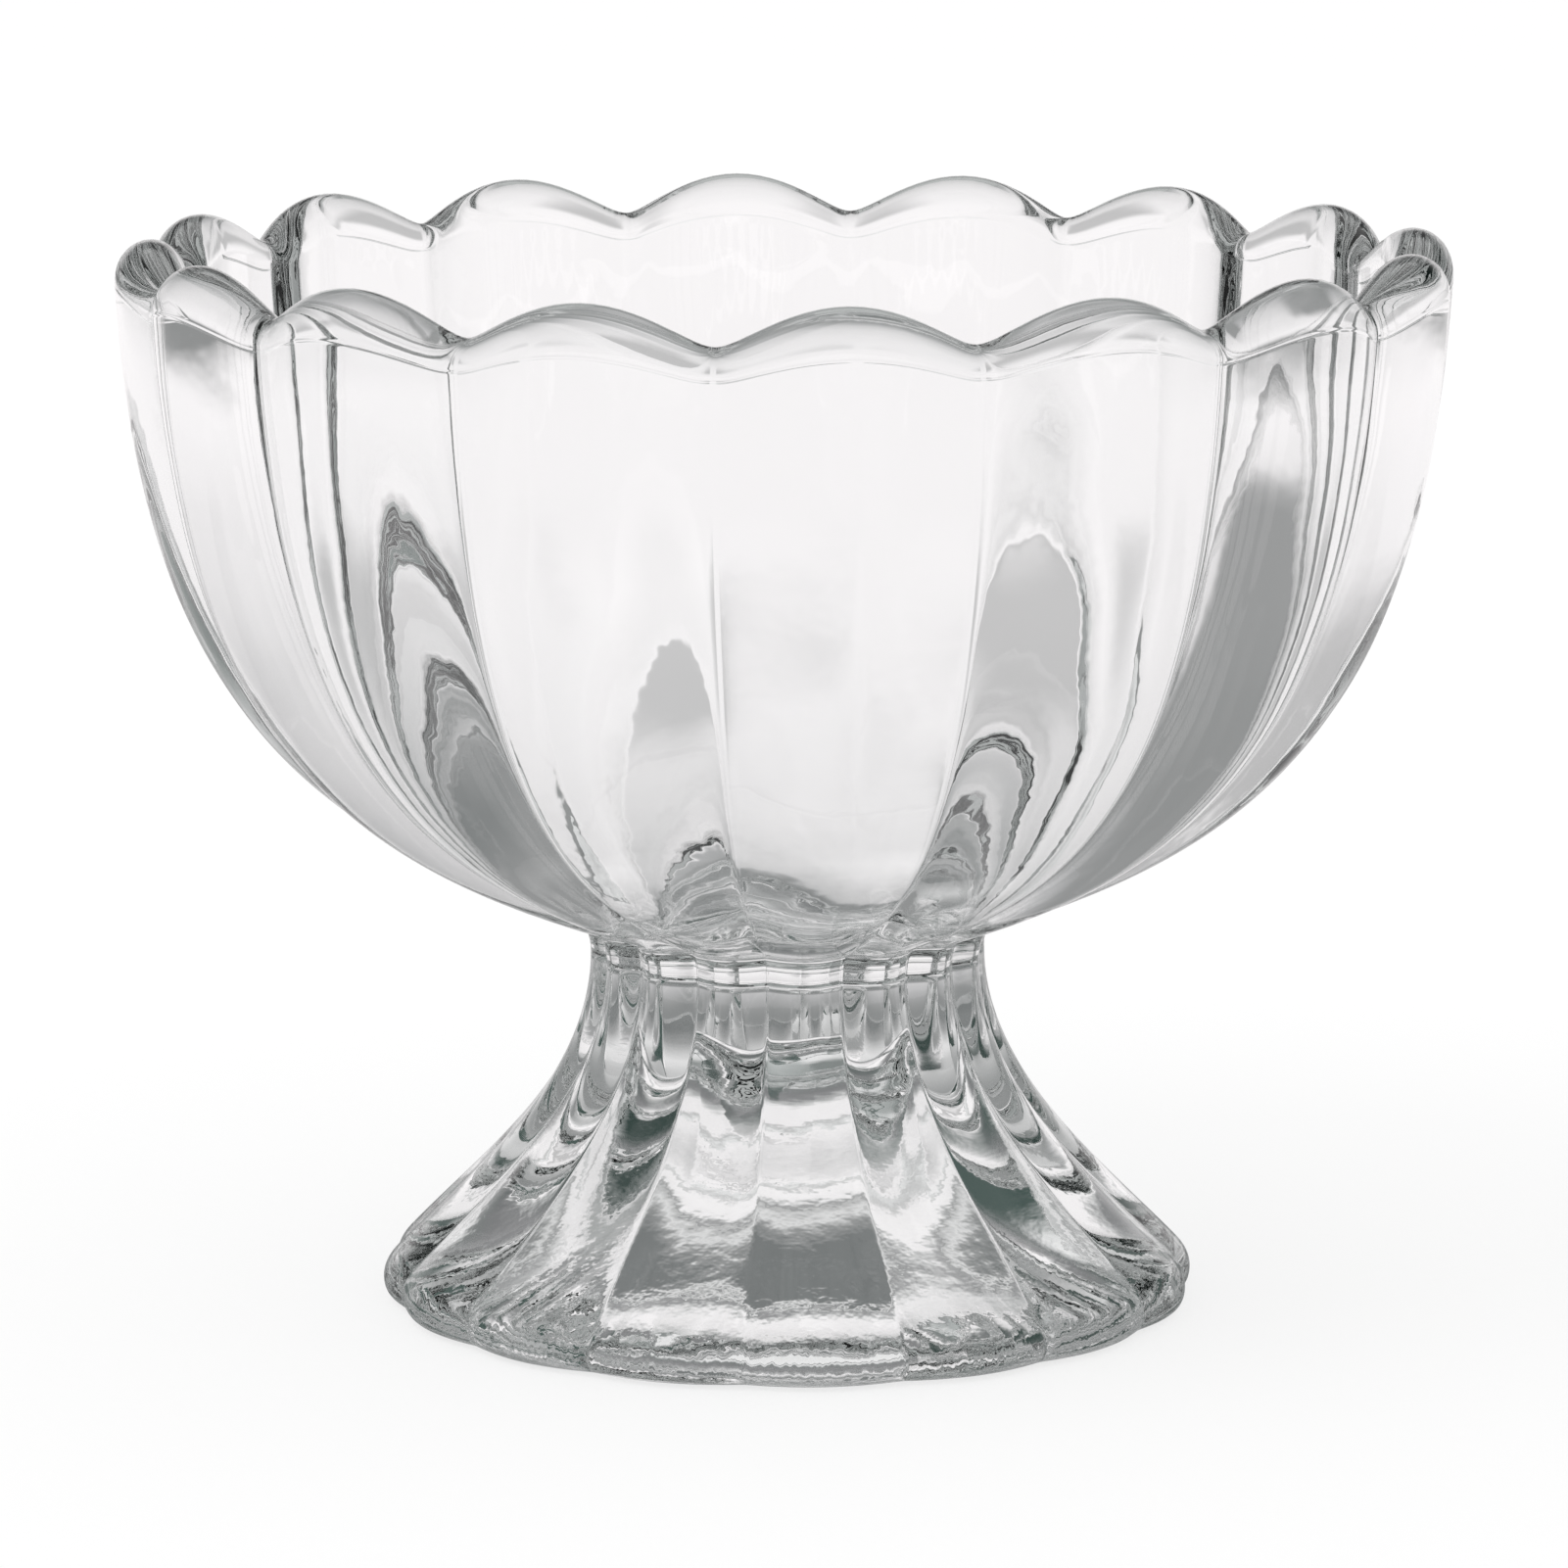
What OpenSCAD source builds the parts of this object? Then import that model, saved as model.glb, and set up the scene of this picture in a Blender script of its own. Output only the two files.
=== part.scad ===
// Footed dessert bowl of thick pressed glass: a lobed bowl with a scalloped, rounded rim,
// fused at the waist to a fluted, hollow foot that flares like a trumpet.
// Millimetres. Z is the axis, the foot stands on z = 0 and a lobe faces -Y.

/* [Lobes] */
// Number of upright lobes round the bowl and the foot
lobes = 16; // [10:1:18]
// How softly the crease between two lobes is rounded
crease_soft = 0.05; // [0.02:0.01:0.3]
// Depth of the creases at the shoulder of the rim
rim_crease = 2; // [0.8:0.1:3]
// Depth of the creases at the waist
waist_crease = 1; // [0.3:0.1:1.4]
// Depth of the creases at the edge of the foot
foot_crease = 0.6; // [0.3:0.1:1.8]

/* [Bowl] */
// Diameter across the lobes at the shoulder of the rim
bowl_d = 99.2; // [90:0.2:115]
// Height of the bowl, from the waist to the tops of the lobes
bowl_h = 53.8; // [46:0.2:62]
// Lean of the wall at the rim, from upright
wall_lean = 2.3; // [0:0.1:6]
// How far down the wall stays nearly upright
wall_reach = 31.5; // [24:0.5:38]
// Rise of the bowl's underside near the waist
under_slope = 19.7; // [10:0.1:28]
// How far out the underside stays nearly flat
under_reach = 20.6; // [12:0.2:26]
// Height of the fillet between the underside and the waist
waist_fillet_h = 2.4; // [1.5:0.1:4]
// How far the fillet reaches out from the waist
waist_fillet_w = 1.2; // [0.6:0.1:2]

/* [Rim] */
// Thickness of the wall at the middle of a lobe, at the rim
wall = 5.4; // [4.5:0.1:8]
// Height of the rounded crown of the rim above its shoulder
rim_crown = 3; // [2:0.1:5]
// How far the rim dips between two lobes
rim_dip = 2.9; // [1:0.1:4.5]
// How softly the dips of the rim are rounded
dip_soft = 0.2; // [0.05:0.01:0.5]
// Depth below the shoulder at which the dips have faded out
dip_fade = 14; // [8:0.5:20]

/* [Inside] */
// Thickness of the glass under the middle of the bowl, down to the waist
floor_t = 4.5; // [4:0.1:9]
// Diameter of the flat middle of the floor inside
floor_d = 8; // [4:0.5:16]
// Draft of the inner wall at the rim, from upright
inner_lean = 1.5; // [0:0.1:5]
// How far down the inner wall stays nearly upright
inner_reach = 31; // [22:0.5:35]
// How far out the floor stays nearly flat
floor_reach = 22; // [10:0.5:26]

/* [Foot] */
// Height of the foot, from the table to the waist
foot_h = 26.2; // [20:0.2:34]
// Diameter across the lobes at the waist
waist_d = 29.7; // [24:0.1:36]
// Diameter across the lobes at the edge of the foot
foot_d = 61.2; // [52:0.2:72]
// How far down the neck stays nearly upright
neck_reach = 10; // [6:0.2:13]
// Fall of the skirt where it meets the edge band
skirt_slope = 47; // [38:1:56]
// How far in the skirt stays nearly straight
skirt_reach = 7.8; // [4:0.2:11]
// Height of the top of the edge band
edge_h = 3; // [2.4:0.1:4.5]
// How far the skirt meets the edge band inside its widest line
edge_step = 0.7; // [0.3:0.1:1]
// Radius of the band's lower edge
edge_r = 1.4; // [0.8:0.1:2]

/* [Hollow of the foot] */
// Height of the hollow
hollow_h = 19; // [10:0.5:19.5]
// Width of the ring that the foot stands on, at the middle of a lobe
ring_w = 2.2; // [1.6:0.1:5]
// How far out the hollow's roof stays nearly flat
roof_reach = 8.4; // [5:0.2:13]
// How far in the hollow's mouth flares nearly straight, like a bell
mouth_reach = 13.6; // [9:0.2:17]
// Rise of the hollow's wall at its mouth
mouth_slope = 17; // [10:1:30]

/* [Hidden] */
glass = [0.80, 0.87, 0.86, 0.6];

// Columns of faces on one lobe, and rows on each stretch of a profile
lobe_cols = 8;
wall_rows = 13;
fillet_rows = 3;
crown_rows = 8;
inside_rows = 12;
neck_rows = 11;
edge_rows = 3;
hollow_rows = 14;

cols = lobes * lobe_cols;
bowl_r = bowl_d / 2;
waist_r = waist_d / 2;
foot_r = foot_d / 2;
hollow_r = foot_r - edge_r - ring_w;
shoulder_z = foot_h + bowl_h - rim_crown;
inner_r = bowl_r - wall;
floor_z = foot_h + floor_t;
fade_z = shoulder_z - dip_fade;
hollow_cut = 1;

function ramp(n) = [for (i = [0:n]) i / n];

function cubic(a, b, c, d, u) =
    pow(1 - u, 3) * a + 3 * pow(1 - u, 2) * u * b + 3 * (1 - u) * u * u * c + pow(u, 3) * d;

function quadratic(a, b, c, u) = pow(1 - u, 2) * a + 2 * (1 - u) * u * b + u * u * c;

// Place of a column within its lobe: 0 at the middle and 1 at the creases
function off_middle(i) = abs(((i + lobe_cols / 2) % lobe_cols) / (lobe_cols / 2) - 1);

// Rounded arch over one lobe: 1 at its middle, 0 at the creases
function arch(t, soft) =
    (sqrt(pow(cos(90 * t), 2) + soft * soft) - soft) / (sqrt(1 + soft * soft) - soft);

function hollowed(t, soft, depth) = depth * (1 - arch(t, soft));

function crease_at(r, outer_r, outer_crease) =
    waist_crease + (outer_crease - waist_crease) * (r - waist_r) / (outer_r - waist_r);

// Point in column i at radius r and height z
function around(i, r, z) = let (a = 360 * i / cols - 90) [r * cos(a), r * sin(a), z];

// Rim: crown height and dip of the shoulder follow the wall's thickness round each lobe
function rim_r(i) = bowl_r - hollowed(off_middle(i), crease_soft, rim_crease);
function crown_at(i) = rim_crown * (rim_r(i) - inner_r) / wall;
function rim_z(i) = foot_h + bowl_h - hollowed(off_middle(i), dip_soft, rim_dip);
function shoulder_dip(i) = shoulder_z - rim_z(i) + crown_at(i);
function faded(z) = pow(max(0, (z - fade_z) / dip_fade), 2);

// Profiles through the middle of a lobe, as [radius, height]
under_r = waist_r + waist_fillet_w;
under_z = foot_h + waist_fillet_h;
wall_top = [bowl_r, shoulder_z];
wall_foot = [under_r, under_z];
wall_top_aim = wall_top - wall_reach * [sin(wall_lean), cos(wall_lean)];
wall_foot_aim = wall_foot + under_reach * [cos(under_slope), sin(under_slope)];
fillet_aim = [waist_r, under_z - waist_fillet_w * tan(under_slope)];
outside = concat(
    [for (u = ramp(fillet_rows)) quadratic([waist_r, foot_h], fillet_aim, wall_foot, u)],
    [for (u = ramp(wall_rows)) if (u > 0) cubic(wall_foot, wall_foot_aim, wall_top_aim, wall_top, u)]
);

inner_top = [inner_r, shoulder_z];
inner_top_aim = inner_top - inner_reach * [sin(inner_lean), cos(inner_lean)];
floor_edge = [floor_d / 2, floor_z];
floor_aim = floor_edge + [floor_reach, 0];
inside = [for (u = ramp(inside_rows)) if (u > 0) cubic(inner_top, inner_top_aim, floor_aim, floor_edge, u)];

skirt_end = [foot_r - edge_step, edge_h];
skirt_aim = skirt_end + skirt_reach * [-cos(skirt_slope), sin(skirt_slope)];
band_aim = [foot_r, edge_h - edge_step * tan(skirt_slope)];
skirt = concat(
    [for (u = ramp(neck_rows)) cubic([waist_r, foot_h], [waist_r, foot_h - neck_reach], skirt_aim, skirt_end, u)],
    [for (u = ramp(edge_rows)) if (u > 0) quadratic(skirt_end, band_aim, [foot_r, edge_r], u)],
    [for (u = ramp(edge_rows)) if (u > 0) quadratic([foot_r, edge_r], [foot_r, 0], [foot_r - edge_r, 0], u)]
);

hollow_mouth = [hollow_r, 0];
hollow_aim = hollow_mouth + mouth_reach * [-cos(mouth_slope), sin(mouth_slope)];
hollow = [for (u = ramp(hollow_rows)) cubic([0, hollow_h], [roof_reach, hollow_h], hollow_aim, hollow_mouth, u)];

// Closed solid through a stack of rings, each with one point per column
module skin(rings) {
    last = len(rings) - 1;
    sides = [
        for (j = [0:last - 1], i = [0:cols - 1])
            let (a = j * cols + i, b = j * cols + (i + 1) % cols)
                each [[a, b + cols, b], [a, a + cols, b + cols]]
    ];
    first_cap = [for (i = [0:cols - 1]) i];
    last_cap = [for (i = [cols - 1:-1:0]) last * cols + i];
    polyhedron([for (ring = rings) each ring], concat(sides, [first_cap, last_cap]));
}

module bowl() {
    columns = [0:cols - 1];
    outer_rings = [
        for (p = outside) [
            for (i = columns)
                around(
                    i,
                    p.x - hollowed(off_middle(i), crease_soft, crease_at(p.x, bowl_r, rim_crease)),
                    p.y - shoulder_dip(i) * faded(p.y)
                )
        ]
    ];
    crown_rings = [
        for (u = ramp(crown_rows)) if (u > 0) [
            for (i = columns)
                around(
                    i,
                    (rim_r(i) + inner_r) / 2 + (rim_r(i) - inner_r) / 2 * cos(180 * u),
                    shoulder_z - shoulder_dip(i) + crown_at(i) * sin(180 * u)
                )
        ]
    ];
    inner_rings = [
        for (p = inside) [for (i = columns) around(i, p.x, p.y - shoulder_dip(i) * faded(p.y))]
    ];
    color(glass) skin(concat(outer_rings, crown_rings, inner_rings));
}

module foot() {
    rings = [
        for (k = [len(skirt) - 1:-1:0]) let (p = skirt[k]) [
            for (i = [0:cols - 1])
                around(i, p.x - hollowed(off_middle(i), crease_soft, crease_at(p.x, foot_r, foot_crease)), p.y)
        ]
    ];
    color(glass) difference() {
        skin(rings);
        rotate_extrude($fn = cols)
            polygon(concat(hollow, [[hollow_r, -hollow_cut], [0, -hollow_cut]]));
    }
}

bowl();
foot();
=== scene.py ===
"""Looks of a footed dessert bowl in thick pressed glass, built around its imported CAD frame."""

import math

import bpy
import numpy as np
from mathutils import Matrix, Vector

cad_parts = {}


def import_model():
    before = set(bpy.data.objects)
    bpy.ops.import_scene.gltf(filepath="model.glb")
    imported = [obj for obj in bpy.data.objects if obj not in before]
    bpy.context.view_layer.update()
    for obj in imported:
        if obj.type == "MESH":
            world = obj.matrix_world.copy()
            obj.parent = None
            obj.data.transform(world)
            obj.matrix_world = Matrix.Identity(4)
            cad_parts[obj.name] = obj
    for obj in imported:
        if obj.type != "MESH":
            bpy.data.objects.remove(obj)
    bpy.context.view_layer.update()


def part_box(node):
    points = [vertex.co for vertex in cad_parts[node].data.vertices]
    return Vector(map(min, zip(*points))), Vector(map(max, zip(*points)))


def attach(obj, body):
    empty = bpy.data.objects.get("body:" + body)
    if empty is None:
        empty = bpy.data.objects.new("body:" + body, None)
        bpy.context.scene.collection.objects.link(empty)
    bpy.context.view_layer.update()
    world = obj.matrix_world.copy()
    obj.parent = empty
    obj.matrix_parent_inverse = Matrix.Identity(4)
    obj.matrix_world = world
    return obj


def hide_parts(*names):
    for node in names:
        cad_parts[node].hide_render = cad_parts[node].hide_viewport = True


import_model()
BOWL_LOW, BOWL_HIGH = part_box("bowl")
FOOT_LOW, FOOT_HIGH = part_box("foot")

MM = 0.001

# Sizes that the frame gives
BOWL_R = (BOWL_HIGH.x - BOWL_LOW.x) / 2
FOOT_R = (FOOT_HIGH.x - FOOT_LOW.x) / 2
WAIST_Z = FOOT_HIGH.z
RIM_Z = BOWL_HIGH.z

# Lobes and creases
LOBES = 16
CREASE_SOFT = 0.05
RIM_CREASE = 2.0 * MM
WAIST_CREASE = 1.0 * MM
FOOT_CREASE = 0.6 * MM

# Bowl, outside
WALL_LEAN = math.radians(2.3)
WALL_REACH = 31.5 * MM
UNDER_SLOPE = math.radians(19.7)
UNDER_REACH = 20.6 * MM
WAIST_FILLET_H = 2.4 * MM
WAIST_FILLET_W = 1.2 * MM

# Rim
WALL = 5.4 * MM
RIM_CROWN = 3.0 * MM
RIM_DIP = 2.9 * MM
DIP_SOFT = 0.2
DIP_FADE = 14.0 * MM

# Bowl, inside
FLOOR_T = 4.5 * MM
FLOOR_R = 4.0 * MM
INNER_LEAN = math.radians(1.5)
INNER_REACH = 31.0 * MM
FLOOR_REACH = 22.0 * MM

# Foot
WAIST_R = 14.85 * MM
NECK_REACH = 10.0 * MM
SKIRT_SLOPE = math.radians(47.0)
SKIRT_REACH = 7.8 * MM
EDGE_H = 3.0 * MM
EDGE_STEP = 0.7 * MM
EDGE_R = 1.4 * MM

# Hollow of the foot. A narrow lip keeps its mouth sharp, and a tiny flat closes its roof
HOLLOW_H = 19.0 * MM
RING_W = 2.2 * MM
ROOF_REACH = 8.4 * MM
ROOF_FLAT_R = 0.05 * MM
MOUTH_REACH = 13.6 * MM
MOUTH_SLOPE = math.radians(17.0)
MOUTH_LIP = 0.15 * MM

SHOULDER_Z = RIM_Z - RIM_CROWN
INNER_R = BOWL_R - WALL
HOLLOW_R = FOOT_R - EDGE_R - RING_W

# Mould line of the pressing, under the rim's crown
MOULD_LINE_H = 0.032 * MM
MOULD_LINE_W = 0.09 * MM
MOULD_LINE_DROP = 0.4 * MM

# Slow ripples in the skin of the glass. Each wave has its turns round the axis, its turning per metre
# of height and how strongly it follows the phase of its surface
RIPPLE = 0.03 * MM
RIPPLE_FADE = 5.0 * MM
RIPPLE_CALM_R = 20.0 * MM
RIPPLE_WAVES = (
    (19, 410, 1.0),
    (11, -530, 2.1),
    (29, 170, 3.7),
)
WALL_PHASE = 0.4
INSIDE_PHASE = 1.9
SKIRT_PHASE = 2.6
HOLLOW_PHASE = 0.9

# Glass: the bowl's skin is fire-polished, and the hollow of the foot keeps the grain of the plunger
GLASS_TINT = (0.996, 0.999, 0.999)
GLASS_IOR = 1.52
HAZE_SIZE = 9.0 * MM
HAZE_DETAIL = 3
HAZE_RANGE = (0.35, 0.75)
GRAIN_DETAIL = 2
SKIN_GRAIN = 3.5 * MM
SKIN_DEPTH = 0.012 * MM
SKIN_HAZE = 0.012
PLUNGER_GRAIN = 1.1 * MM
PLUNGER_DEPTH = 0.02 * MM
PLUNGER_HAZE = 0.03

# Mesh density: columns on one lobe, how strongly they gather at the creases, and rows on each stretch
# of a profile. The mould line has close rows of its own, over a few times its drop
LOBE_COLS = 28
CREASE_PULL = 0.75
FILLET_ROWS = 8
WALL_ROWS = 64
LINE_ROWS = 14
LINE_ZONE = 3 * MOULD_LINE_DROP
CROWN_ROWS = 26
INSIDE_ROWS = 60
NECK_ROWS = 56
EDGE_ROWS = 8
HOLLOW_ROWS = 60

# Camera of the photograph
PHOTO_PX = 1601
AXIS_PX = 804.5
VIEW_TARGET = Vector((0, 0, 38.7 * MM))
VIEW_DISTANCE = 537 * MM
VIEW_ELEVATION = math.radians(10.36)
VIEW_TURN = math.radians(-5.05)
LENS = 164.6
SENSOR = 36.0
CLIP_START = 10 * MM

# Room, as the glass shows it. Colours go with the height of a direction, from 0 level to 1 straight up.
# Edges go with how far a level direction points to the backdrop, from -1 at the front to 1 at the back
WHITE = (1.0, 1.0, 1.0)
PALE = (1.0, 0.976, 0.983)
DARK = (0.050, 0.078, 0.070)
BACKDROP = (
    (0.0, (0.90, 0.90, 0.90)),
    (0.035, (0.60, 0.60, 0.60)),
    (0.065, PALE),
    (0.22, PALE),
    (0.28, (0.62, 0.62, 0.62)),
    (0.36, (0.28, 0.28, 0.285)),
    (0.44, (0.23, 0.23, 0.235)),
    (0.55, (0.22, 0.23, 0.23)),
    (0.62, (0.90, 0.90, 0.90)),
    (0.84, (0.80, 0.80, 0.80)),
    (0.93, (0.24, 0.26, 0.255)),
)
BACKDROP_EDGE = (0.72, 0.97)
SIDES = (
    (0.0, (0.42, 0.43, 0.43)),
    (0.11, (0.34, 0.35, 0.35)),
    (0.20, DARK),
    (0.62, DARK),
    (0.76, (0.45, 0.47, 0.465)),
    (0.97, (0.28, 0.30, 0.295)),
)
LEFT_LEVEL = 0.75
RIGHT_LEVEL = 1.15
FRONT_LEVEL = 0.6
FRONT_EDGE = (-0.9, -0.2)

# Floor, plain white to the eye
FLOOR_HALF = 2.5
FLOOR_DROP = 0.2 * MM
FLOOR_WHITE = (0.98, 0.98, 0.98)
FLOOR_ROUGHNESS = 0.8
FLOOR_GLOW = 0.75

# Painted shade on the floor, which only light that has passed the glass sees: a painted shadow under the
# foot with a bright ring of painted light near its edge, and painted shade around the bowl. Colours go
# with the distance from the bowl's axis in metres, under the foot and around it, and the shade around is
# stretched across the view
UNDER_SHADOW_AND_LIGHT_RING = (
    (0.018, (0.18, 0.19, 0.19)),
    (0.0208, (0.42, 0.42, 0.42)),
    (0.0245, (0.88, 0.88, 0.88)),
    (0.027, (0.55, 0.55, 0.55)),
    (0.030, (0.24, 0.25, 0.25)),
)
UNDER_BLUR = 2 * MM
FLOOR_SHADE = (
    (0.030, (0.22, 0.23, 0.23)),
    (0.045, (0.31, 0.315, 0.315)),
    (0.06, (0.48, 0.48, 0.485)),
    (0.08, (0.68, 0.67, 0.675)),
    (0.11, (0.81, 0.795, 0.80)),
    (0.16, (0.91, 0.89, 0.897)),
    (0.22, (0.96, 0.94, 0.947)),
    (0.35, PALE),
)
SHADE_STRETCH = 1.8

# Two patches of painted shade on the floor behind the bowl, left and right: where they set in and end,
# across and along the view
PATCH_SHADE = (0.59, 0.582, 0.585)
PATCH_INNER_SIDE = (0.035, 0.07)
PATCH_OUTER_SIDE = (0.10, 0.14)
PATCH_NEAR = (0.115, 0.15)
PATCH_FAR = (0.23, 0.32)

# A narrow band of painted shade on the floor across the view, behind the axis: its middle, and where its
# sides and its ends fade out
BAND_SHADE = (0.30, 0.305, 0.305)
BAND_PLACE = 0.019
BAND_SIDE = (0.010, 0.022)
BAND_END = (0.18, 0.25)

# Painted shade on the far left and right of the floor
FAR_SHADE = (0.28, 0.285, 0.285)
FAR_SIDE = (0.30, 0.44)

# Light that has been bent or reflected this many times turns into one even grey
LONG_PATH = (7, 11)
LONG_PATH_SHADE = (0.42, 0.435, 0.43)

# Lamp, and how many times light may be bent or reflected
SOFTBOX_PLACE = Vector((-0.8, -0.5, 1.4))
SOFTBOX_SIZE = 1.0
SOFTBOX_POWER = 4
BOUNCES = 24
GLOSSY_BOUNCES = 12


def ramp(rows, skip_first=False):
    return np.linspace(0, 1, rows + 1)[1 if skip_first else 0 :]


def cubic(a, b, c, d, u):
    a, b, c, d = (np.asarray(p, float) for p in (a, b, c, d))
    u = u[:, None]
    return (1 - u) ** 3 * a + 3 * (1 - u) ** 2 * u * b + 3 * (1 - u) * u**2 * c + u**3 * d


def quadratic(a, b, c, u):
    a, b, c = (np.asarray(p, float) for p in (a, b, c))
    u = u[:, None]
    return (1 - u) ** 2 * a + 2 * (1 - u) * u * b + u**2 * c


def aim(point, reach, angle):
    """The handle of a curve that leaves point at this angle from the radius."""
    return np.asarray(point) + reach * np.array((math.cos(angle), math.sin(angle)))


def arch(t, soft):
    """Rounded arch over one lobe: 1 at its middle, 0 at the creases."""
    return (np.hypot(np.cos(np.pi / 2 * t), soft) - soft) / (math.hypot(1, soft) - soft)


# Columns round the axis. Within its lobe a column lies between -1 and 1, with the creases at both ends
STEP = np.linspace(-1, 1, LOBE_COLS + 1)[:-1]
GATHERED = (1 - CREASE_PULL) * STEP + CREASE_PULL * np.sin(np.pi / 2 * STEP)
OFF_MIDDLE = np.tile(GATHERED, LOBES)
ANGLE = (np.repeat(np.arange(LOBES), LOBE_COLS) + OFF_MIDDLE / 2) * 2 * np.pi / LOBES - np.pi / 2


def crease_depth(r, outer_r, outer_crease):
    return WAIST_CREASE + (outer_crease - WAIST_CREASE) * (r - WAIST_R) / (outer_r - WAIST_R)


def lobed(profile, outer_r, outer_crease):
    """Rings of a profile of (radius, height) with the creases pressed in: radii and heights."""
    depth = crease_depth(profile[:, 0], outer_r, outer_crease)
    radii = profile[:, :1] - depth[:, None] * (1 - arch(OFF_MIDDLE, CREASE_SOFT))
    return radii, np.repeat(profile[:, 1:], len(ANGLE), axis=1)


def turned(profile):
    """Rings of a round profile: radii and heights."""
    return np.repeat(profile[:, :1], len(ANGLE), axis=1), np.repeat(profile[:, 1:], len(ANGLE), axis=1)


def rippled(radii, heights, low, high, phase):
    """Radii with slow ripples, which fade out towards the heights low and high and towards the axis."""
    waves = sum(
        np.sin(turns * ANGLE + climb * heights + follow * phase) for turns, climb, follow in RIPPLE_WAVES
    )
    fade = np.clip(np.minimum(heights - low, high - heights) / RIPPLE_FADE, 0, 1)
    calm = np.clip(radii / RIPPLE_CALM_R, 0, 1)
    return radii + RIPPLE / len(RIPPLE_WAVES) * waves * fade * calm


def rim_lines():
    """Round each lobe: outer radius at the shoulder, height of the crown and dip of the shoulder."""
    radius = BOWL_R - RIM_CREASE * (1 - arch(OFF_MIDDLE, CREASE_SOFT))
    crown = RIM_CROWN * (radius - INNER_R) / WALL
    top = RIM_Z - RIM_DIP * (1 - arch(OFF_MIDDLE, DIP_SOFT))
    return radius, crown, SHOULDER_Z - top + crown


def dipped(heights, shoulder_dip):
    """Heights near the rim, lowered between the lobes and fading out down the wall."""
    fade = np.clip((heights - SHOULDER_Z + DIP_FADE) / DIP_FADE, 0, None) ** 2
    return heights - shoulder_dip * fade


def wall_profile():
    """Outside of the bowl through the middle of a lobe, from the waist to the shoulder."""
    waist = (WAIST_R, WAIST_Z)
    wall_foot = (WAIST_R + WAIST_FILLET_W, WAIST_Z + WAIST_FILLET_H)
    wall_top = (BOWL_R, SHOULDER_Z)
    fillet_aim = (WAIST_R, wall_foot[1] - WAIST_FILLET_W * math.tan(UNDER_SLOPE))
    fillet = quadratic(waist, fillet_aim, wall_foot, ramp(FILLET_ROWS))
    # Near its end a cubic runs three times as fast as its handle is long
    line_from = 1 - LINE_ZONE / (3 * WALL_REACH)
    steps = np.append(
        line_from * ramp(WALL_ROWS, skip_first=True),
        line_from + (1 - line_from) * ramp(LINE_ROWS, skip_first=True),
    )
    wall = cubic(
        wall_foot,
        aim(wall_foot, UNDER_REACH, UNDER_SLOPE),
        aim(wall_top, WALL_REACH, -math.pi / 2 - WALL_LEAN),
        wall_top,
        steps,
    )
    return np.vstack((fillet, wall))


def inside_profile():
    """Inside of the bowl, from the shoulder to the flat middle of its floor."""
    inner_top = (INNER_R, SHOULDER_Z)
    floor_edge = (FLOOR_R, WAIST_Z + FLOOR_T)
    return cubic(
        inner_top,
        aim(inner_top, INNER_REACH, -math.pi / 2 - INNER_LEAN),
        aim(floor_edge, FLOOR_REACH, 0),
        floor_edge,
        ramp(INSIDE_ROWS, skip_first=True),
    )


def bowl_rings():
    """Rings from the waist up the outside, over the crown and down the inside: radii and heights."""
    radius, crown, shoulder_dip = rim_lines()
    turn = np.pi * ramp(CROWN_ROWS, skip_first=True)[:, None]
    crown_r = (radius + INNER_R) / 2 + (radius - INNER_R) / 2 * np.cos(turn)
    crown_z = SHOULDER_Z - shoulder_dip + crown * np.sin(turn)
    outer_r, outer_z = lobed(wall_profile(), BOWL_R, RIM_CREASE)
    inner_r, inner_z = turned(inside_profile())
    off_line = (SHOULDER_Z - outer_z - MOULD_LINE_DROP) / MOULD_LINE_W
    mould_line = MOULD_LINE_H * np.exp(-(off_line**2))
    outer_r = rippled(outer_r, outer_z, WAIST_Z, SHOULDER_Z, WALL_PHASE) + mould_line
    inner_r = rippled(inner_r, inner_z, WAIST_Z + FLOOR_T, SHOULDER_Z, INSIDE_PHASE)
    radii = np.vstack((outer_r, crown_r, inner_r))
    heights = np.vstack((dipped(outer_z, shoulder_dip), crown_z, dipped(inner_z, shoulder_dip)))
    return radii, heights


def skirt_profile():
    """Outside of the foot through the middle of a lobe, from the waist to the ring it stands on."""
    waist = (WAIST_R, WAIST_Z)
    skirt_end = (FOOT_R - EDGE_STEP, EDGE_H)
    widest = (FOOT_R, EDGE_R)
    stand = (FOOT_R - EDGE_R, 0)
    band_aim = (FOOT_R, EDGE_H - EDGE_STEP * math.tan(SKIRT_SLOPE))
    neck = cubic(
        waist,
        aim(waist, NECK_REACH, -math.pi / 2),
        aim(skirt_end, SKIRT_REACH, math.pi - SKIRT_SLOPE),
        skirt_end,
        ramp(NECK_ROWS),
    )
    upper_edge = quadratic(skirt_end, band_aim, widest, ramp(EDGE_ROWS, skip_first=True))
    lower_edge = quadratic(widest, (FOOT_R, 0), stand, ramp(EDGE_ROWS, skip_first=True))
    return np.vstack((neck, upper_edge, lower_edge))


def hollow_profile():
    """Hollow of the foot, from the lip of its mouth to the middle of its roof."""
    lip = (HOLLOW_R + MOUTH_LIP, 0)
    mouth = (HOLLOW_R, 0)
    bell = cubic(
        mouth,
        aim(mouth, MOUTH_REACH, math.pi - MOUTH_SLOPE),
        (ROOF_REACH, HOLLOW_H),
        (ROOF_FLAT_R, HOLLOW_H),
        ramp(HOLLOW_ROWS),
    )
    return np.vstack((lip, bell))


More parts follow.
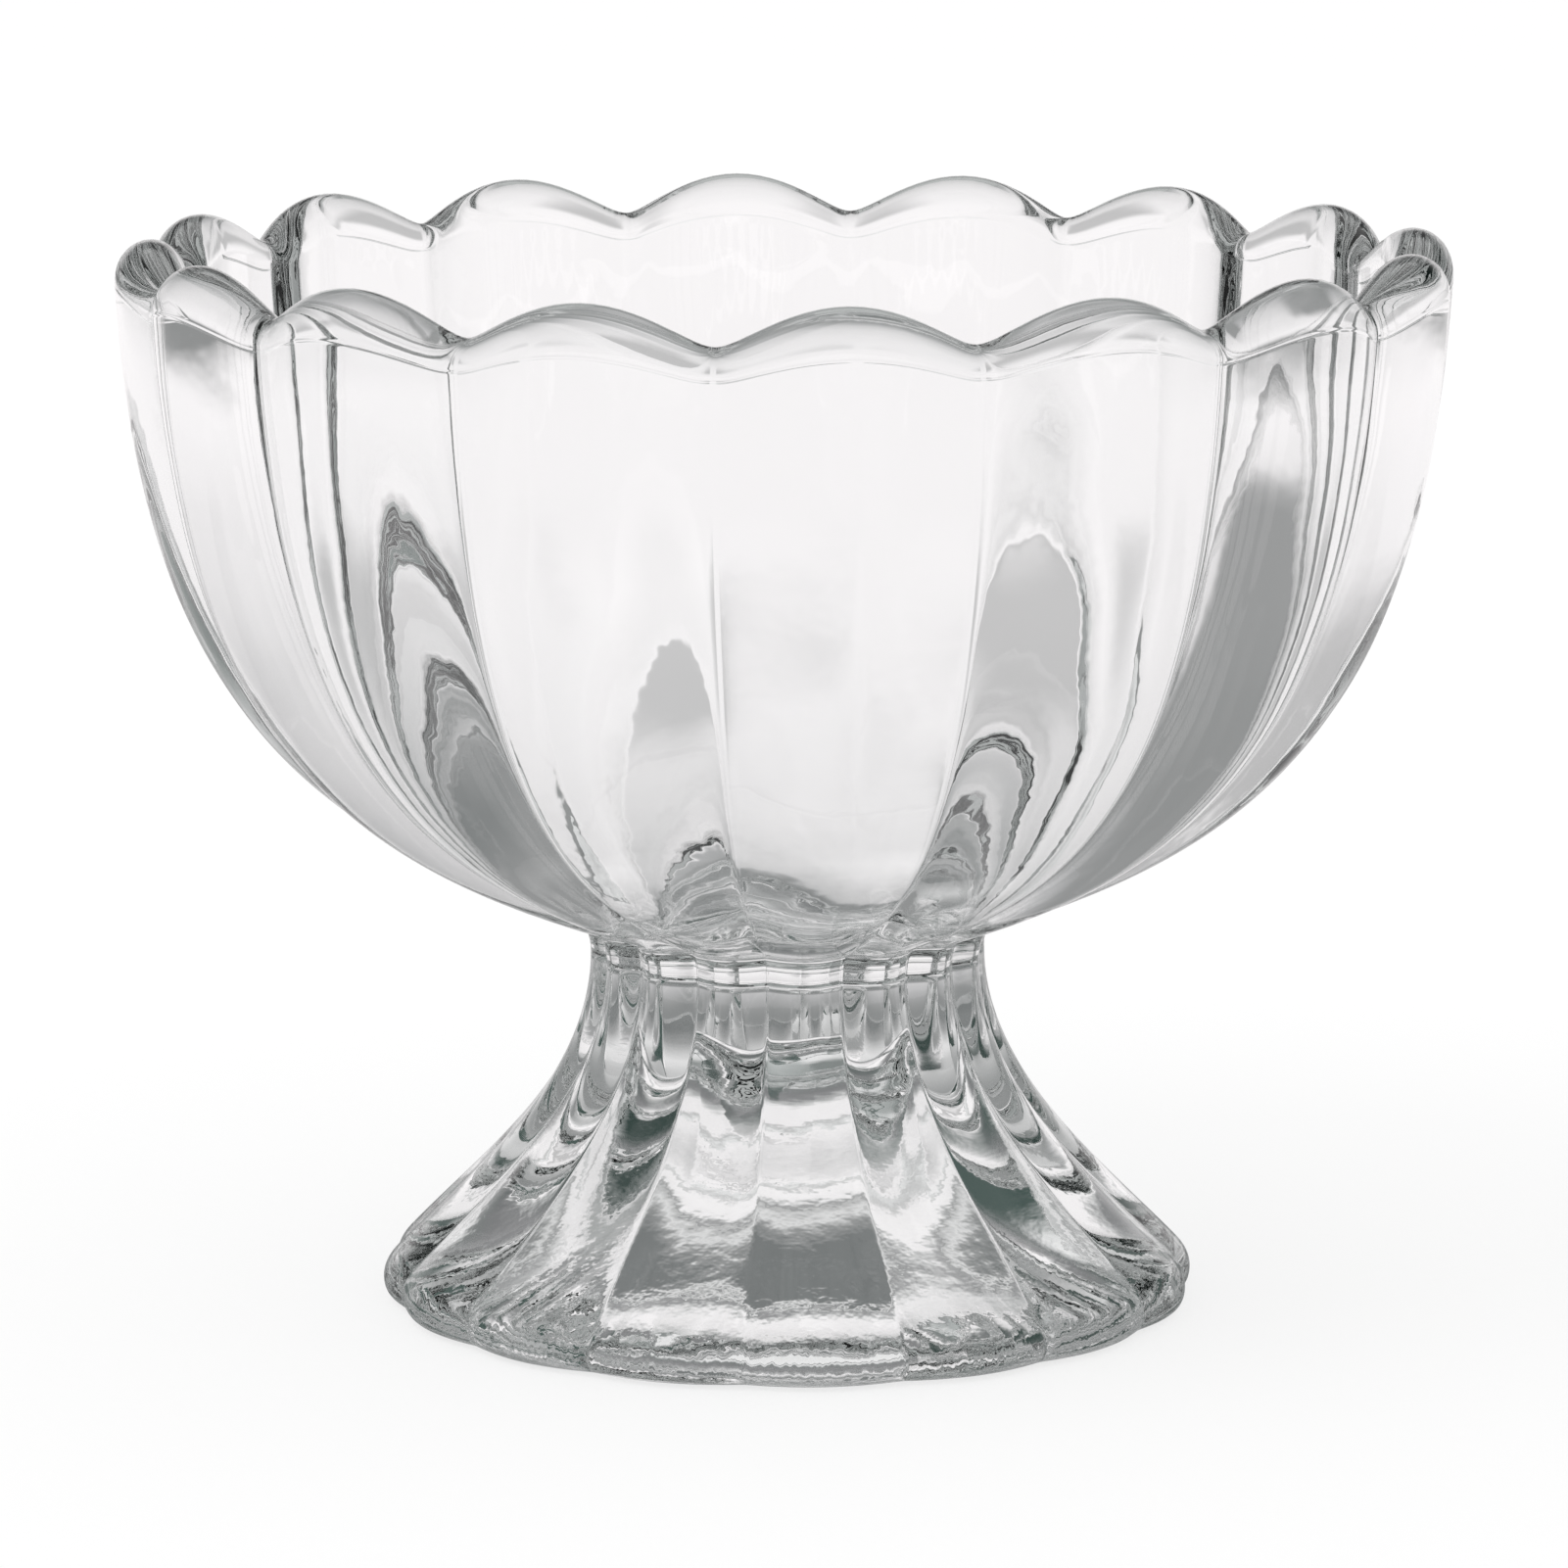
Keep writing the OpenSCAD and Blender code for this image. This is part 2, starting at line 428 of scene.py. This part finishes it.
def foot_rings():
    """Rings from the waist down the outside and up into the hollow: radii and heights."""
    outer_r, outer_z = lobed(skirt_profile(), FOOT_R, FOOT_CREASE)
    inner_r, inner_z = turned(hollow_profile())
    outer_r = rippled(outer_r, outer_z, EDGE_H, WAIST_Z, SKIRT_PHASE)
    inner_r = rippled(inner_r, inner_z, 0, HOLLOW_H, HOLLOW_PHASE)
    return np.vstack((outer_r, inner_r)), np.vstack((outer_z, inner_z))


def skin(name, radii, heights, materials, flip, plunger_rows=0):
    """A closed piece through a stack of rings. The first ring closes in the seam, which takes the
    second material. The last plunger_rows rows, and the face that closes them, take the third."""
    rows, cols = radii.shape
    points = np.stack((radii * np.cos(ANGLE), radii * np.sin(ANGLE), heights), axis=-1).reshape(-1, 3)
    row, col = np.meshgrid(np.arange(rows - 1), np.arange(cols), indexing="ij")
    a = (row * cols + col).ravel()
    b = (row * cols + (col + 1) % cols).ravel()
    faces = np.stack((a, b, b + cols, a + cols), axis=-1)
    caps = [list(range(cols))[::-1], list(range((rows - 1) * cols, rows * cols))]
    if flip:
        faces = faces[:, ::-1]
        caps = [cap[::-1] for cap in caps]
    mesh = bpy.data.meshes.new(name)
    mesh.from_pydata(points.tolist(), [], faces.tolist() + caps)
    for material in materials:
        mesh.materials.append(material)
    mesh.polygons.foreach_set("use_smooth", [True] * len(mesh.polygons))
    seam_face = mesh.polygons[len(faces)]
    seam_face.material_index = 1
    seam_face.use_smooth = False
    for face in mesh.polygons[len(faces) - plunger_rows * cols : len(faces)]:
        face.material_index = 2
    if plunger_rows:
        mesh.polygons[len(faces) + 1].material_index = 2
    mesh.update()
    piece = bpy.data.objects.new(name, mesh)
    bpy.context.scene.collection.objects.link(piece)
    return piece


def place(piece, node):
    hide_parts(node)
    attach(piece, "root")


def feed(tree, source, socket):
    """Give a socket its value: another socket, a colour or a number."""
    if isinstance(source, bpy.types.NodeSocket):
        tree.links.new(source, socket)
    elif isinstance(source, tuple):
        socket.default_value = (*source, 1)
    else:
        socket.default_value = source


def calculated(tree, operation, first, second=0):
    """Socket of a calculation on one or two values."""
    node = tree.nodes.new("ShaderNodeMath")
    node.operation = operation
    feed(tree, first, node.inputs[0])
    feed(tree, second, node.inputs[1])
    return node.outputs["Value"]


def product(tree, first, second):
    """Socket of the product of two values."""
    return calculated(tree, "MULTIPLY", first, second)


def apart(tree, value, middle):
    """Socket of the distance of a value from the middle."""
    return calculated(tree, "ABSOLUTE", calculated(tree, "SUBTRACT", value, middle))


def length(tree, vector):
    """Socket of the length of a vector."""
    measure = tree.nodes.new("ShaderNodeVectorMath")
    measure.operation = "LENGTH"
    feed(tree, vector, measure.inputs[0])
    return measure.outputs["Value"]


def split(tree, vector):
    """Sockets of the X, Y and Z of a vector."""
    parts = tree.nodes.new("ShaderNodeSeparateXYZ")
    feed(tree, vector, parts.inputs[0])
    return parts.outputs


def between(tree, value, low, high, low_to, high_to):
    """Socket that eases from low_to to high_to as value goes from low to high."""
    ease = tree.nodes.new("ShaderNodeMapRange")
    ease.interpolation_type = "SMOOTHSTEP"
    feed(tree, value, ease.inputs["Value"])
    feed(tree, low, ease.inputs["From Min"])
    feed(tree, high, ease.inputs["From Max"])
    feed(tree, low_to, ease.inputs["To Min"])
    feed(tree, high_to, ease.inputs["To Max"])
    return ease.outputs["Result"]


def blended(tree, factor, first, second):
    """Socket of a colour that goes from first to second as factor goes from 0 to 1."""
    mix = tree.nodes.new("ShaderNodeMix")
    mix.data_type = "RGBA"
    feed(tree, factor, mix.inputs["Factor"])
    feed(tree, first, mix.inputs["A"])
    feed(tree, second, mix.inputs["B"])
    return mix.outputs["Result"]


def graded(tree, value, stops):
    """Socket of a colour that follows value through the stops."""
    grade = tree.nodes.new("ShaderNodeValToRGB")
    elements = grade.color_ramp.elements
    while len(elements) < len(stops):
        elements.new(1.0)
    for element, (position, colour) in zip(elements, stops):
        element.position = position
        element.color = (*colour, 1)
    feed(tree, value, grade.inputs["Fac"])
    return grade.outputs["Color"]


def noise(tree, place_on, size, detail):
    """Socket of a soft random pattern whose patches have about this size."""
    pattern = tree.nodes.new("ShaderNodeTexNoise")
    feed(tree, 1 / size, pattern.inputs["Scale"])
    feed(tree, detail, pattern.inputs["Detail"])
    feed(tree, place_on, pattern.inputs["Vector"])
    return pattern.outputs["Fac"]


def seen_through_glass(tree):
    """Socket that is 1 for light that the glass bends or reflects, and 0 for all other light."""
    path = tree.nodes.new("ShaderNodeLightPath")
    return calculated(tree, "MAXIMUM", path.outputs["Is Transmission Ray"], path.outputs["Is Glossy Ray"])


def evened(tree, colour):
    """Socket of a colour that turns into one even grey for light on a long path through the glass."""
    path = tree.nodes.new("ShaderNodeLightPath")
    late = between(tree, path.outputs["Ray Depth"], *LONG_PATH, 0, 1)
    return blended(tree, late, colour, LONG_PATH_SHADE)


def glass_material(name, grain, depth, rough):
    """Clear pressed glass. Its skin carries a fine grain from the mould and a faint, uneven haze."""
    material = bpy.data.materials.new(name)
    material.use_nodes = True
    tree = material.node_tree
    shader = tree.nodes["Principled BSDF"]
    shader.inputs["Base Color"].default_value = (*GLASS_TINT, 1)
    shader.inputs["Transmission Weight"].default_value = 1.0
    shader.inputs["IOR"].default_value = GLASS_IOR
    place_on = tree.nodes.new("ShaderNodeTexCoord").outputs["Object"]
    haze = noise(tree, place_on, HAZE_SIZE, HAZE_DETAIL)
    feed(tree, between(tree, haze, *HAZE_RANGE, 0, rough), shader.inputs["Roughness"])
    bump = tree.nodes.new("ShaderNodeBump")
    bump.inputs["Strength"].default_value = 1.0
    bump.inputs["Distance"].default_value = depth
    feed(tree, noise(tree, place_on, grain, GRAIN_DETAIL), bump.inputs["Height"])
    feed(tree, bump.outputs["Normal"], shader.inputs["Normal"])
    return material


def seam_material():
    """The fused seam inside the glass, which light crosses unbent."""
    material = bpy.data.materials.new("fused_seam")
    material.use_nodes = True
    tree = material.node_tree
    tree.nodes.remove(tree.nodes["Principled BSDF"])
    clear = tree.nodes.new("ShaderNodeBsdfTransparent")
    feed(tree, clear.outputs["BSDF"], tree.nodes["Material Output"].inputs["Surface"])
    return material


def aimed(name, data, place_at):
    """A camera or lamp at a place, turned to the middle of the bowl."""
    thing = bpy.data.objects.new(name, data)
    thing.location = place_at
    thing.rotation_euler = (VIEW_TARGET - place_at).to_track_quat("-Z", "Y").to_euler()
    bpy.context.scene.collection.objects.link(thing)
    return thing


def camera():
    data = bpy.data.cameras.new("photo_camera")
    data.lens = LENS
    data.sensor_width = SENSOR
    data.shift_x = (PHOTO_PX / 2 - AXIS_PX) / PHOTO_PX
    data.clip_start = CLIP_START
    flat = VIEW_DISTANCE * math.cos(VIEW_ELEVATION)
    height = VIEW_DISTANCE * math.sin(VIEW_ELEVATION)
    away = Vector((flat * math.sin(VIEW_TURN), -flat * math.cos(VIEW_TURN), height))
    bpy.context.scene.camera = aimed("photo_camera", data, VIEW_TARGET + away)


def lamp():
    """A soft lamp high on the left, which shows neither in nor through the glass."""
    data = bpy.data.lights.new("softbox", "AREA")
    data.shape = "DISK"
    data.size = SOFTBOX_SIZE
    data.energy = SOFTBOX_POWER
    softbox = aimed("softbox", data, SOFTBOX_PLACE)
    softbox.visible_glossy = False
    softbox.visible_transmission = False


def world():
    """A room, white to the eye, whose darker upper parts and sides draw the outlines in the glass."""
    studio = bpy.data.worlds.new("studio")
    studio.use_nodes = True
    tree = studio.node_tree
    turn = tree.nodes.new("ShaderNodeMapping")
    turn.inputs["Rotation"].default_value = (0, 0, -VIEW_TURN)
    feed(tree, tree.nodes.new("ShaderNodeTexCoord").outputs["Generated"], turn.inputs["Vector"])
    height = split(tree, turn.outputs["Vector"])["Z"]
    flatten = tree.nodes.new("ShaderNodeVectorMath")
    flatten.operation = "MULTIPLY"
    flatten.inputs[1].default_value = (1, 1, 0)
    feed(tree, turn.outputs["Vector"], flatten.inputs[0])
    level = tree.nodes.new("ShaderNodeVectorMath")
    level.operation = "NORMALIZE"
    feed(tree, flatten.outputs["Vector"], level.inputs[0])
    heading = split(tree, level.outputs["Vector"])
    across = between(tree, heading["X"], -1, 1, LEFT_LEVEL, RIGHT_LEVEL)
    ahead = between(tree, heading["Y"], *FRONT_EDGE, FRONT_LEVEL, 1)
    sides = tree.nodes.new("ShaderNodeVectorMath")
    sides.operation = "SCALE"
    feed(tree, graded(tree, height, SIDES), sides.inputs[0])
    feed(tree, product(tree, across, ahead), sides.inputs["Scale"])
    behind = between(tree, heading["Y"], *BACKDROP_EDGE, 0, 1)
    room = blended(tree, behind, sides.outputs["Vector"], graded(tree, height, BACKDROP))
    colour = blended(tree, seen_through_glass(tree), WHITE, evened(tree, room))
    feed(tree, colour, tree.nodes["Background"].inputs["Color"])
    bpy.context.scene.world = studio


def floor_shade(tree):
    """Socket of the painted shade on the floor, with its painted ring of light under the foot, as the
    glass shows it: X runs across the view and Y away from it.
    """
    place_on = tree.nodes.new("ShaderNodeTexCoord").outputs["Object"]
    distance = length(tree, place_on)
    spot = split(tree, place_on)
    across = apart(tree, spot["X"], 0)
    spread = tree.nodes.new("ShaderNodeMapping")
    spread.inputs["Scale"].default_value = (1 / SHADE_STRETCH, 1, 0)
    feed(tree, place_on, spread.inputs["Vector"])
    around = graded(tree, length(tree, spread.outputs["Vector"]), FLOOR_SHADE)
    # Painted shade of the two patches behind the bowl, the band across the view and the far sides, laid
    # over the shade around
    patch_across = product(
        tree,
        between(tree, across, *PATCH_INNER_SIDE, 0, 1),
        between(tree, across, *PATCH_OUTER_SIDE, 1, 0),
    )
    patch_along = product(
        tree,
        between(tree, spot["Y"], *PATCH_NEAR, 0, 1),
        between(tree, spot["Y"], *PATCH_FAR, 1, 0),
    )
    around = blended(tree, product(tree, patch_across, patch_along), around, PATCH_SHADE)
    band_across = between(tree, across, *BAND_END, 1, 0)
    band_along = between(tree, apart(tree, spot["Y"], BAND_PLACE), *BAND_SIDE, 1, 0)
    around = blended(tree, product(tree, band_across, band_along), around, BAND_SHADE)
    around = blended(tree, between(tree, across, *FAR_SIDE, 0, 1), around, FAR_SHADE)
    # Painted shadow under the foot, with a bright ring of painted light near its edge
    under = graded(tree, distance, UNDER_SHADOW_AND_LIGHT_RING)
    outside = between(tree, distance, FOOT_R - UNDER_BLUR, FOOT_R + UNDER_BLUR, 0, 1)
    return blended(tree, outside, under, around)


def floor_material():
    """White for the eye, with the bowl's shadow. Light that has passed the glass sees the painted shade
    and painted ring of light, given off as a glow.
    """
    material = bpy.data.materials.new("floor")
    material.use_nodes = True
    tree = material.node_tree
    lit = tree.nodes["Principled BSDF"]
    lit.inputs["Base Color"].default_value = (*FLOOR_WHITE, 1)
    lit.inputs["Roughness"].default_value = FLOOR_ROUGHNESS
    lit.inputs["Specular IOR Level"].default_value = 0
    glow = tree.nodes.new("ShaderNodeEmission")
    white = tree.nodes.new("ShaderNodeMixShader")
    feed(tree, FLOOR_GLOW, white.inputs["Fac"])
    feed(tree, lit.outputs["BSDF"], white.inputs[1])
    feed(tree, glow.outputs["Emission"], white.inputs[2])
    shaded = tree.nodes.new("ShaderNodeEmission")
    feed(tree, evened(tree, floor_shade(tree)), shaded.inputs["Color"])
    either = tree.nodes.new("ShaderNodeMixShader")
    feed(tree, seen_through_glass(tree), either.inputs["Fac"])
    feed(tree, white.outputs["Shader"], either.inputs[1])
    feed(tree, shaded.outputs["Emission"], either.inputs[2])
    feed(tree, either.outputs["Shader"], tree.nodes["Material Output"].inputs["Surface"])
    return material


def floor():
    """A wide floor just under the foot, turned to the camera."""
    corners = [(x * FLOOR_HALF, y * FLOOR_HALF, 0) for x, y in ((-1, -1), (1, -1), (1, 1), (-1, 1))]
    mesh = bpy.data.meshes.new("floor")
    mesh.from_pydata(corners, [], [(0, 1, 2, 3)])
    mesh.materials.append(floor_material())
    ground = bpy.data.objects.new("floor", mesh)
    ground.rotation_euler.z = VIEW_TURN
    ground.location.z = -FLOOR_DROP
    bpy.context.scene.collection.objects.link(ground)


glass = glass_material("pressed_glass", SKIN_GRAIN, SKIN_DEPTH, SKIN_HAZE)
hollow_glass = glass_material("hollow_glass", PLUNGER_GRAIN, PLUNGER_DEPTH, PLUNGER_HAZE)
seam = seam_material()
bowl = skin("bowl_glass", *bowl_rings(), (glass, seam), flip=False)
foot = skin("foot_glass", *foot_rings(), (glass, seam, hollow_glass), flip=True, plunger_rows=HOLLOW_ROWS)
place(bowl, "bowl")
place(foot, "foot")

camera()
world()
floor()
lamp()

scene = bpy.context.scene
scene.view_settings.view_transform = "Standard"
scene.cycles.max_bounces = BOUNCES
scene.cycles.transmission_bounces = BOUNCES
scene.cycles.glossy_bounces = GLOSSY_BOUNCES
